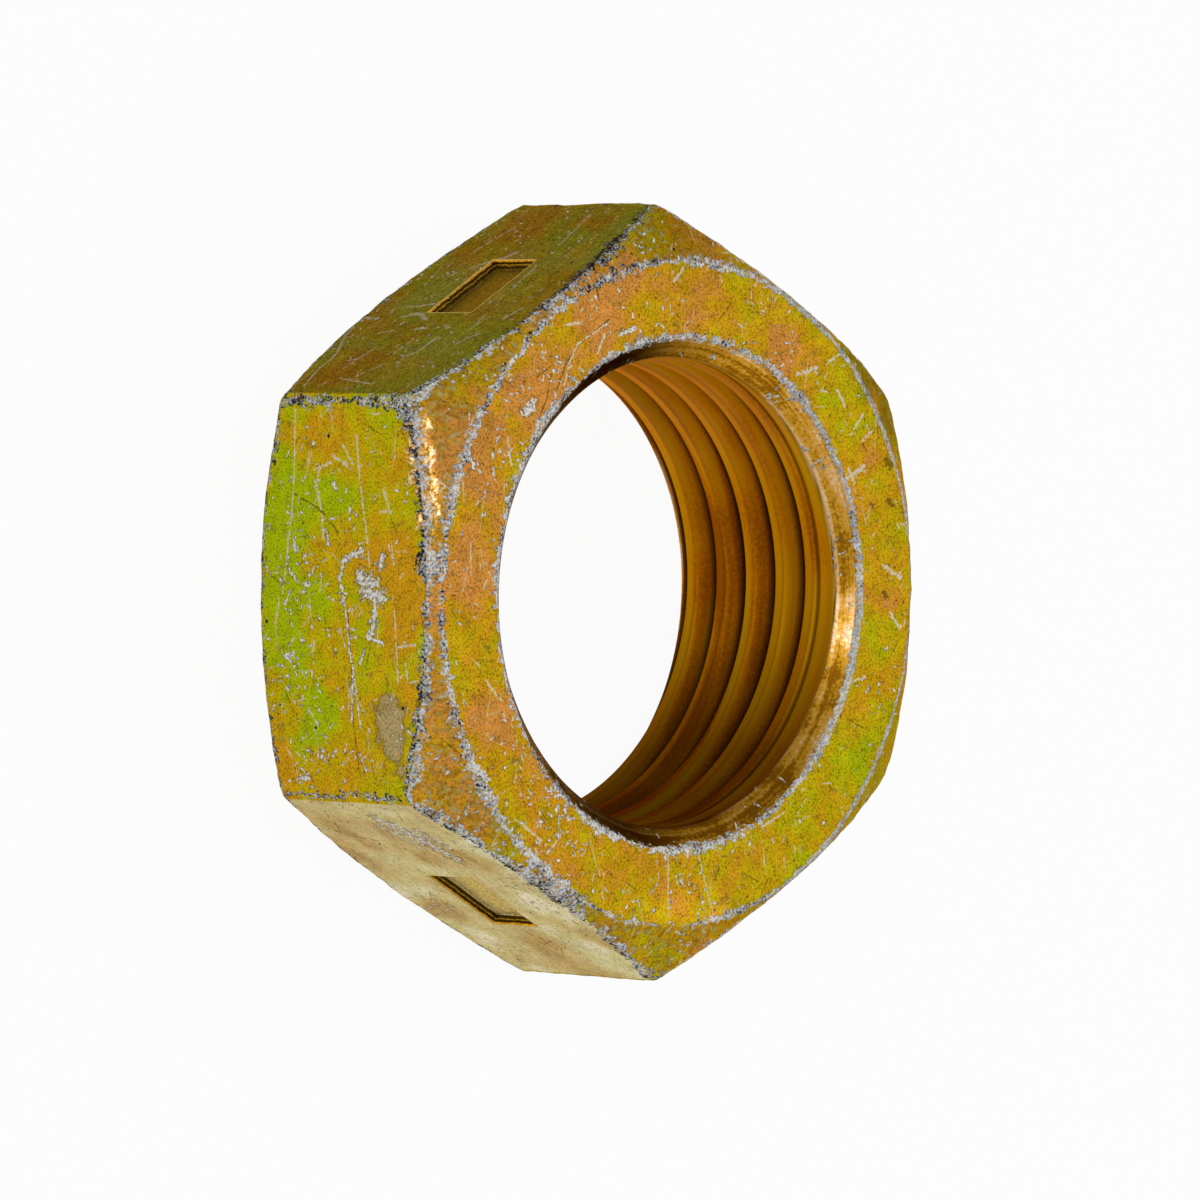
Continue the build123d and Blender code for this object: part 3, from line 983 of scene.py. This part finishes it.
class Graph:
    """Short ways to add nodes to a material and join them. Sizes are in millimetres."""

    def __init__(self, material):
        material.use_nodes = True
        self.tree = material.node_tree
        self.shader = self.tree.nodes["Principled BSDF"]
        self.body = self.scaled(self.node("TexCoord").outputs["Object"], 1 / MM)
        self.place = self.node("UVMap", uv_map="places").outputs["UV"]

    def node(self, kind, **settings):
        """Adds a node with its settings."""
        made = self.tree.nodes.new("ShaderNode" + kind)
        for name, value in settings.items():
            setattr(made, name, value)
        return made

    def join(self, socket, value):
        """Gives a socket a plain value, or what comes out of another node."""
        if isinstance(value, Number):
            value = value.socket
        if isinstance(value, bpy.types.NodeSocket):
            self.tree.links.new(value, socket)
        elif socket.type == "RGBA":
            socket.default_value = (*value, 1)
        else:
            socket.default_value = value

    def math(self, operation, *values):
        """A step between numbers."""
        made = self.node("Math", operation=operation)
        for socket, value in zip(made.inputs, values):
            self.join(socket, value)
        return Number(self, made.outputs[0])

    def larger(self, first, *others):
        """The largest of some numbers."""
        for other in others:
            first = self.math("MAXIMUM", first, other)
        return first

    def smaller(self, first, second):
        """The smaller of two numbers."""
        return self.math("MINIMUM", first, second)

    def vector(self, operation, *values, scale=1):
        """A step between vectors or colours."""
        made = self.node("VectorMath", operation=operation)
        for socket, value in zip(made.inputs, values):
            self.join(socket, value)
        self.join(made.inputs[3], scale)
        if operation in ("LENGTH", "DISTANCE", "DOT_PRODUCT"):
            return Number(self, made.outputs["Value"])
        return made.outputs["Vector"]

    def scaled(self, vector, scale):
        """A vector or colour times a number."""
        return self.vector("SCALE", vector, scale=scale)

    def parts(self, vector):
        """The three numbers of a vector or colour."""
        made = self.node("SeparateXYZ")
        self.join(made.inputs[0], vector)
        return [Number(self, output) for output in made.outputs]

    def mark(self, name):
        """One of the marks that the mesh carries."""
        return Number(self, self.node("Attribute", attribute_name=name).outputs["Fac"])

    def band(self, value, low, high):
        """Eases from 0 to 1 while a value goes from low to high."""
        made = self.node("MapRange", interpolation_type="SMOOTHSTEP")
        for socket, given in zip(made.inputs, (value, low, high)):
            self.join(socket, given)
        return Number(self, made.outputs[0])

    def noise(self, size, detail, seed, place=None):
        """Noise from 0 to 1 with grains about as wide as size."""
        made = self.node("TexNoise")
        shift = (seed * 13.1, seed * 7.7, seed * 3.3)
        self.join(made.inputs["Vector"], self.vector("ADD", place or self.body, shift))
        made.inputs["Scale"].default_value = 1 / size
        made.inputs["Detail"].default_value = detail
        return Number(self, made.outputs[0])

    def swing(self, amount, size, detail, seed, place=None):
        """Noise that swings to both sides of 0, by amount at most."""
        return self.math("MULTIPLY_ADD", self.noise(size, detail, seed, place), 2 * amount, -amount)

    def mix(self, share, under, over):
        """A colour between two others."""
        made = self.node("Mix", data_type="RGBA")
        for number, value in ((0, share), (6, under), (7, over)):
            self.join(made.inputs[number], value)
        return made.outputs[2]

    def blend(self, share, under, over):
        """A number between two others."""
        made = self.node("Mix", data_type="FLOAT")
        for number, value in ((0, share), (2, under), (3, over)):
            self.join(made.inputs[number], value)
        return Number(self, made.outputs[0])

    def ramp(self, value, stops):
        """A colour that runs through the given stops."""
        made = self.node("ValToRGB")
        elements = made.color_ramp.elements
        for element, (position, color) in zip(elements, (stops[0], stops[-1])):
            element.position = position
            element.color = (*color, 1)
        for position, color in stops[1:-1]:
            elements.new(position).color = (*color, 1)
        self.join(made.inputs[0], value)
        return made.outputs[0]


class Finish:
    """The surface's colour, metallic share and roughness, built up coat by coat."""

    def __init__(self, graph, color, metallic, rough):
        self.graph = graph
        self.color = color
        self.metallic = metallic
        self.rough = rough

    def coat(self, share, color, metallic=0.4, rough=0.5):
        """Lays another finish over this one where share is 1."""
        self.color = self.graph.mix(share, self.color, color)
        self.metallic = self.graph.blend(share, self.metallic, metallic)
        self.rough = self.graph.blend(share, self.rough, rough)


def stained(graph, color):
    """A colour with the dull brown-grey stain over it, darker at the stain's border."""
    level = graph.mark("stain") + graph.swing(1.0, 0.4, 4, 10)
    stain = graph.mix(graph.band(level, 0.3, 1.0), STAIN_BORDER, STAIN_MIDDLE)
    return graph.mix(0.85 * graph.band(level, 0.1, 0.6), color, stain)


def plating(graph):
    """The plating itself: gold that drifts to salmon and green, with a fine dark grain, scaled by
    painted light and shade.
    """
    side, shade = graph.mark("side"), graph.mark("shade")
    drift = graph.swing(0.6, 3.4, 2, 1) + graph.swing(0.55, 0.8, 4, 2) + graph.swing(0.28, 0.12, 1, 3)
    hue = graph.larger(graph.mark("hue") + drift, 0.28 * side)
    grain = graph.band(graph.noise(0.085, 1, 4), 0.42, 0.72)
    light = 1.12 + graph.swing(0.3, 0.6, 2, 5) - 0.55 * grain
    brushed = graph.vector("MULTIPLY", graph.place, (0.35, 4, 0))
    sandy = graph.swing(0.5, 1.0, 2, 9, brushed) + graph.swing(1.6, 0.1, 1, 14)
    sandy = sandy * graph.larger(side - 0.95 * shade, 0)
    # The painted shade, light and reflection of the shade mark scale the plating's colour
    color = graph.scaled(stained(graph, graph.ramp(hue, PLATING_HUES)), shade * (light + sandy))
    # Painted pale reflection of the table, laid as a film over the plating
    cloud = graph.noise(1.8, 3, 7) + 0.5 * graph.mark("hue") - 0.27
    film_light = 0.6 * light + 0.42 + graph.swing(0.25, 0.4, 2, 15, brushed)
    film = graph.scaled(graph.ramp(cloud, PALE_REFLECTION_HUES), film_light)
    color = graph.mix(graph.mark("milk"), color, film)
    return Finish(graph, color, 0.6, 0.4 + graph.swing(0.12, 1.2, 2, 8))


def mottle(graph, finish):
    """Brown, grey-green and khaki patches that the chamfers' knocked plating shows."""
    patch = graph.noise(0.3, 5, 11) + graph.swing(0.15, 2.5, 1, 12)
    color = graph.ramp(graph.noise(0.25, 4, 13), MOTTLE_HUES)
    # The mottle darkens with the painted shade under it
    color = graph.scaled(color, graph.smaller(graph.mark("shade"), 1))
    finish.coat(0.65 * graph.band(patch, 0.5, 0.56) * graph.mark("chamfer"), color, 0.55, 0.4)


def strokes(graph, cell, length, width, share, seed, lean):
    """Random lines, one at most in each cell of the map: 1 in the middle of one, 0 and less outside."""
    shifted = graph.vector("ADD", graph.place, (seed * 17.3, seed * 9.1, 0))
    scaled = graph.vector("DIVIDE", shifted, (*cell, 1))
    cells = graph.node("TexVoronoi", voronoi_dimensions="2D")
    cells.inputs["Scale"].default_value = 1
    graph.join(cells.inputs["Vector"], scaled)
    away = graph.vector("SUBTRACT", scaled, cells.outputs["Position"])
    turn, _, rank = graph.parts(cells.outputs["Color"])
    turned = graph.node("VectorRotate", rotation_type="Z_AXIS")
    graph.join(turned.inputs["Vector"], graph.vector("MULTIPLY", away, (*cell, 1)))
    graph.join(turned.inputs["Angle"], 2 * lean * turn - lean)
    x, y, _ = graph.parts(turned.outputs[0])
    along = graph.math("POWER", graph.math("ABSOLUTE", x) / length, 2)
    across = graph.math("ABSOLUTE", y) / width
    depth = 1 - (along + across + graph.swing(2.2, 0.13, 2, seed))
    return graph.blend(graph.math("LESS_THAN", rank, share), NOWHERE, depth)


def random_scratches(graph, finish):
    """Short pale scratches in swarms, and a few long thin ones."""
    color = graph.mix(graph.band(graph.noise(0.5, 1, 30), 0.4, 0.6), SCRATCH, SCRATCH_PALE)
    swarm = 0.55 * graph.band(graph.noise(1.6, 1, 31), 0.48, 0.62)
    short = strokes(graph, cell=(0.5, 0.4), length=0.17, width=0.045, share=swarm, seed=32, lean=1.4)
    long = strokes(graph, cell=(2.4, 1.1), length=0.8, width=0.03, share=0.25, seed=33, lean=0.35)
    across = strokes(graph, cell=(1.3, 1.5), length=0.35, width=0.04, share=0.25, seed=34, lean=3.0)
    # Scratches fade where the painted shade is deep
    clear = 0.9 * graph.band(graph.mark("shade"), -0.1, 0.9)
    finish.coat(graph.band(graph.larger(short, long, across), 0, 0.4) * clear, color)


def traces(graph, drawn, lift):
    """How deep each point is in the given lines: 1 in the middle of one, 0 and less outside."""
    depth = NOWHERE
    for half_width, *points in drawn:
        for start, end in zip(points, points[1:]):
            start = Vector(lift(start))
            run = Vector(lift(end)) - start
            from_start = graph.vector("SUBTRACT", graph.body, start)
            share = graph.vector("DOT_PRODUCT", from_start, run / run.length_squared)
            nearest = graph.scaled(run, graph.smaller(graph.larger(share, 0), 1))
            away = graph.vector("DISTANCE", from_start, nearest)
            depth = graph.larger(depth, graph.math("MULTIPLY_ADD", away, -1 / half_width, 1))
    return depth


def drawn_scratches(graph, finish, drawn, lift):
    """The scratches that the photograph shows on one surface, broken up along their way."""
    depth = graph.swing(2.4, 0.14, 2, 41) + traces(graph, drawn, lift)
    # Scratches dim with the painted shade under them
    dim = graph.smaller(0.7 * graph.mark("shade") + 0.3, 1)
    finish.coat(graph.band(depth, 0.1, 0.4), graph.scaled(SCRATCH_PALE, dim))


def dark_lines(graph, finish, drawn, lift):
    """Thin dark lines, random and drawn, broken up along their way, and swarms of short dashes."""
    swarm = 0.4 * graph.band(graph.noise(1.8, 1, 37), 0.46, 0.6)
    long = strokes(graph, cell=(2.2, 1.7), length=0.7, width=0.03, share=0.3, seed=36, lean=3.1)
    short = strokes(graph, cell=(0.5, 0.42), length=0.09, width=0.04, share=swarm, seed=38, lean=3.1)
    depth = graph.larger(long, short)
    if drawn:
        depth = graph.larger(depth, graph.swing(1.8, 0.2, 2, 42) + traces(graph, drawn, lift))
    finish.coat(0.75 * graph.band(depth, 0, 0.5), CRACK, metallic=0.5)


def bare_spots(graph, finish, drawn, lift):
    """Flecks and patches of bare metal with dark borders of grime and painted relief shade, random
    and drawn.
    """
    flecks, bore = graph.mark("flecks"), graph.mark("bore")
    cluster = graph.band(graph.noise(2.2, 2, 50), 0.4, 0.62) * (0.25 - 0.17 * to_the_right(graph))
    crowd = 4 * flecks + cluster - (bore + 0.08 * graph.mark("milk"))
    blob = graph.noise(0.3, 4, 52) + graph.swing(0.3, 2.6, 1, 51) + flecks - 0.76
    fleck = strokes(graph, cell=(0.45, 0.4), length=0.14, width=0.045, share=crowd, seed=35, lean=3.1)
    depth = graph.larger(14 * (blob - bore), fleck)
    if drawn:
        depth = graph.larger(depth, graph.swing(3.0, 0.2, 3, 53) + traces(graph, drawn, lift))
    metal = graph.ramp(graph.noise(0.12, 1, 54), METAL_SPOTS)
    # Bare spots fade where the painted shade is deep
    clear = graph.band(graph.mark("shade"), -0.1, 0.7)
    finish.coat(0.6 * graph.band(depth, -0.5, -0.1), SPOT_GRIME_AND_SHADE)
    finish.coat(graph.band(depth, 0.0, 0.3) * clear, metal, 0.5, 0.45)


def pits(graph, finish):
    """Small dark pits."""
    cells = graph.node("TexVoronoi")
    cells.inputs["Scale"].default_value = 1.5
    graph.join(cells.inputs["Vector"], graph.body)
    size, _, rank = graph.parts(cells.outputs["Color"])
    hole = graph.band(0.09 * size + 0.03 - cells.outputs["Distance"], 0, 0.03)
    finish.coat(hole * graph.math("LESS_THAN", rank, 0.3), PIT, 0.2, 0.7)


def ring_place(graph, fine):
    """Place in the section through the turning axis, so that what follows it runs round the axis."""
    from_axis = graph.vector("SUBTRACT", graph.body, (TURNING_X, 0, 0))
    section = graph.node("CombineXYZ")
    graph.join(section.inputs[0], graph.vector("LENGTH", graph.vector("MULTIPLY", from_axis, (1, 1, 0))))
    graph.join(section.inputs[1], graph.parts(from_axis)[2])
    drift = graph.scaled(from_axis, 0.06)
    return graph.vector("ADD", graph.scaled(section.outputs[0], fine), drift)


def thread(graph):
    """Amber plating in satin bands along the thread, with painted shade in its grooves
    and a painted highlight on the crests towards +Y.
    """
    depth = graph.mark("depth")
    bands = graph.noise(1.0, 3, 61, ring_place(graph, 1.5))
    tone = bands + graph.swing(0.22, 3.5, 1, 62) + graph.swing(0.15, 0.12, 1, 63) + graph.mark("hue")
    # Painted highlight: crests towards +Y are paler
    crest = graph.band(depth, 0.3, 0.0) * graph.band(graph.parts(graph.body)[1], 3, 9)
    color = graph.mix(0.8 * crest, graph.ramp(tone, THREAD_HUES), CREST_HIGHLIGHT)
    # Painted shade in the grooves
    color = graph.mix(graph.band(depth, 0.5, 1.0), color, GROOVE_SHADE)
    # Painted light and shade by angle, from the shade mark
    return Finish(graph, graph.scaled(color, graph.mark("shade")), 0.55, 0.5)


def countersink(graph, finish):
    """Turned copper-gold cone at each end of the thread, with fine lines round it, and painted light
    and shade.
    """
    lines = graph.noise(1.0, 3, 71, ring_place(graph, 6))
    tone = lines + graph.swing(0.4, 1.6, 2, 72) + graph.swing(0.28, 0.13, 2, 73) + graph.mark("hue")
    # Painted light and shade by angle, from the shade mark
    color = graph.scaled(graph.ramp(tone, SINK_HUES), graph.mark("shade"))
    finish.coat(graph.mark("sink"), color, 0.75, 0.4 + graph.swing(0.2, 0.15, 2, 74))


def pockets(graph, finish):
    """Stamped pockets: gold lips and ledges, painted shade on the walls and at the floor's edge,
    and a golden-brown floor.
    """
    depth = graph.mark("pocket")
    color = graph.ramp(depth + graph.swing(0.14, 0.2, 2, 81), POCKET_HUES_AND_SHADE)
    color = graph.mix(graph.band(depth, 0.85, 1.0) * graph.mark("milk"), color, PALE_REFLECTION_FLOOR)
    color = graph.scaled(color, 1 + graph.swing(0.9, 0.09, 1, 82))
    finish.coat(graph.band(graph.mark("rim"), 0.1, 0.5), POCKET_LIP, 0.6, 0.4)
    finish.coat(graph.band(depth, 0.01, 0.04), color, 0.7, 0.45)


def burnished(graph, finish):
    """Plating and metal rubbed bright: copper, gold and white grains, partly a painted highlight."""
    share = graph.band(graph.mark("burnish_glint") + graph.swing(1.2, 0.3, 3, 85), 0.45, 0.7)
    color = graph.ramp(graph.noise(0.14, 1, 86) + graph.swing(0.15, 0.5, 1, 87), BURNISH_GLINT_HUES)
    finish.coat(share, color, 0.9, 0.36)


def to_the_right(graph):
    """Rises from 0 in the nut's middle to 1 at its right, where the wear is even."""
    return graph.band(graph.parts(graph.body)[0], 0, 9)


def worn_share(graph):
    """Where wear along the edges has bared the metal."""
    swings = graph.swing(1.7, 0.25, 4, 91) + graph.swing(0.9, 2.5, 1, 92)
    swings = swings * (1 - 0.6 * to_the_right(graph))
    return graph.band(graph.mark("reach") + swings, 0.4, 0.5)


def worn_edges(graph, finish):
    """Bare metal along the edges: a ragged band of dark, blue-grey and white grains."""
    left_over = 0.8 * graph.band(graph.noise(0.15, 2, 93), 0.54, 0.62)
    grains = graph.noise(0.1, 1, 94) + graph.swing(0.3, 0.6, 1, 95)
    tone = graph.blend(0.4 * to_the_right(graph), grains, 0.44) + 0.06
    tone = tone - 0.14 * graph.mark("side") - graph.mark("tarnish")
    finish.coat(worn_share(graph) * (1 - left_over), graph.ramp(tone, METAL_GRAINS))


def relief(graph):
    """Height in millimetres: the plating's fine grain, turned lines, and edges worn below it."""
    grain = -0.012 * graph.noise(0.1, 1, 4)
    lines = 0.015 * graph.noise(1.0, 2, 71, ring_place(graph, 6))
    turned = graph.larger(graph.mark("sink"), graph.mark("bore"))
    return graph.blend(turned, grain, lines) - 0.02 * worn_share(graph)


def finish_material(graph, finish, sheen):
    """Joins the finish and the relief to the shader, whose reflections at low angles are tinted."""
    bump = graph.node("Bump")
    bump.inputs["Distance"].default_value = MM
    graph.join(bump.inputs["Height"], relief(graph))
    inputs = graph.shader.inputs
    graph.join(inputs["Base Color"], finish.color)
    graph.join(inputs["Metallic"], finish.metallic)
    graph.join(inputs["Roughness"], finish.rough)
    graph.join(inputs["Normal"], bump.outputs[0])
    inputs["Specular IOR Level"].default_value = 0
    inputs["Specular Tint"].default_value = (*sheen, 1)


def plating_material(zone):
    """Yellow plating of one zone, with painted light and shade, worn, scratched and stained, from the
    bottom coat up.
    """
    material = bpy.data.materials.new("yellow_plating_" + zone)
    graph = Graph(material)
    finish = plating(graph)
    mottle(graph, finish)
    random_scratches(graph, finish)
    scratches, bare, cracks, lift = DRAWN.get(zone, ((), (), (), in_space))
    dark_lines(graph, finish, cracks, lift)
    if scratches:
        drawn_scratches(graph, finish, scratches, lift)
    bare_spots(graph, finish, bare, lift)
    pits(graph, finish)
    pockets(graph, finish)
    burnished(graph, finish)
    worn_edges(graph, finish)
    finish_material(graph, finish, OUTER_SHEEN)
    return material


def bore_material():
    """Plating of the thread and the countersinks, with painted light and shade, worn at the mouths."""
    material = bpy.data.materials.new("yellow_plating_bore")
    graph = Graph(material)
    finish = thread(graph)
    countersink(graph, finish)
    bare_spots(graph, finish, (), None)
    worn_edges(graph, finish)
    finish_material(graph, finish, BORE_SHEEN)
    return material


def build_nut():
    """The nut's visible piece, which stands for the CAD node."""
    nut = bpy.data.objects.new("plated_nut", nut_mesh())
    bpy.context.collection.objects.link(nut)
    for zone in ZONES:
        nut.data.materials.append(bore_material() if zone == "bore" else plating_material(zone))
    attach(nut, "root")
    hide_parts("hex_nut")


def build_camera():
    """The camera, with its place and turn against the nut and its long lens."""
    data = bpy.data.cameras.new("camera")
    data.sensor_width = CAMERA_SENSOR
    data.lens = CAMERA_LENS
    data.clip_start = 0.01
    camera = bpy.data.objects.new("camera", data)
    camera.location = Vector(CAMERA_PLACE) * MM
    camera.rotation_euler = [math.radians(angle) for angle in CAMERA_TURN]
    bpy.context.collection.objects.link(camera)
    bpy.context.scene.camera = camera


def build_lamp(name, place, size, energy):
    """Soft square lamp, turned to the nut."""
    data = bpy.data.lights.new(name, "AREA")
    data.size = size
    data.energy = energy
    lamp = bpy.data.objects.new(name, data)
    lamp.location = place
    lamp.rotation_euler = Vector(place).to_track_quat("Z", "Y").to_euler()
    bpy.context.collection.objects.link(lamp)


def table_material():
    """Pale table that keeps the nut's shadow and shows as nearly white, also in reflections."""
    material = bpy.data.materials.new("table")
    graph = Graph(material)
    speck = 0.5 + graph.swing(0.01, 2.0, 2, 1)
    graph.join(graph.shader.inputs["Base Color"], graph.mix(speck, TABLE_PALE, TABLE_PALER))
    graph.shader.inputs["Roughness"].default_value = TABLE_ROUGH
    glow = graph.node("Emission")
    rays = graph.node("LightPath").outputs
    seen = graph.larger(rays["Is Camera Ray"], rays["Is Glossy Ray"], rays["Is Transmission Ray"])
    either = graph.node("MixShader")
    graph.join(either.inputs[0], TABLE_GLOW * seen)
    graph.join(either.inputs[1], graph.shader.outputs[0])
    graph.join(either.inputs[2], glow.outputs[0])
    graph.join(graph.tree.nodes["Material Output"].inputs["Surface"], either.outputs[0])
    return material


def build_stage():
    """Pale table, soft lamps and the studio's even light."""
    bpy.ops.mesh.primitive_plane_add(size=TABLE_SIZE)
    table = bpy.context.object
    table.name = "table"
    table.data.materials.append(table_material())
    world = bpy.data.worlds.new("studio")
    world.use_nodes = True
    background = world.node_tree.nodes["Background"].inputs
    background["Color"].default_value = (1, 1, 1, 1)
    background["Strength"].default_value = WORLD_LIGHT
    bpy.context.scene.world = world
    for name, (place, size, energy) in LAMPS.items():
        build_lamp(name, place, size, energy)
    bpy.context.scene.view_settings.view_transform = "Standard"


build_nut()
build_camera()
build_stage()
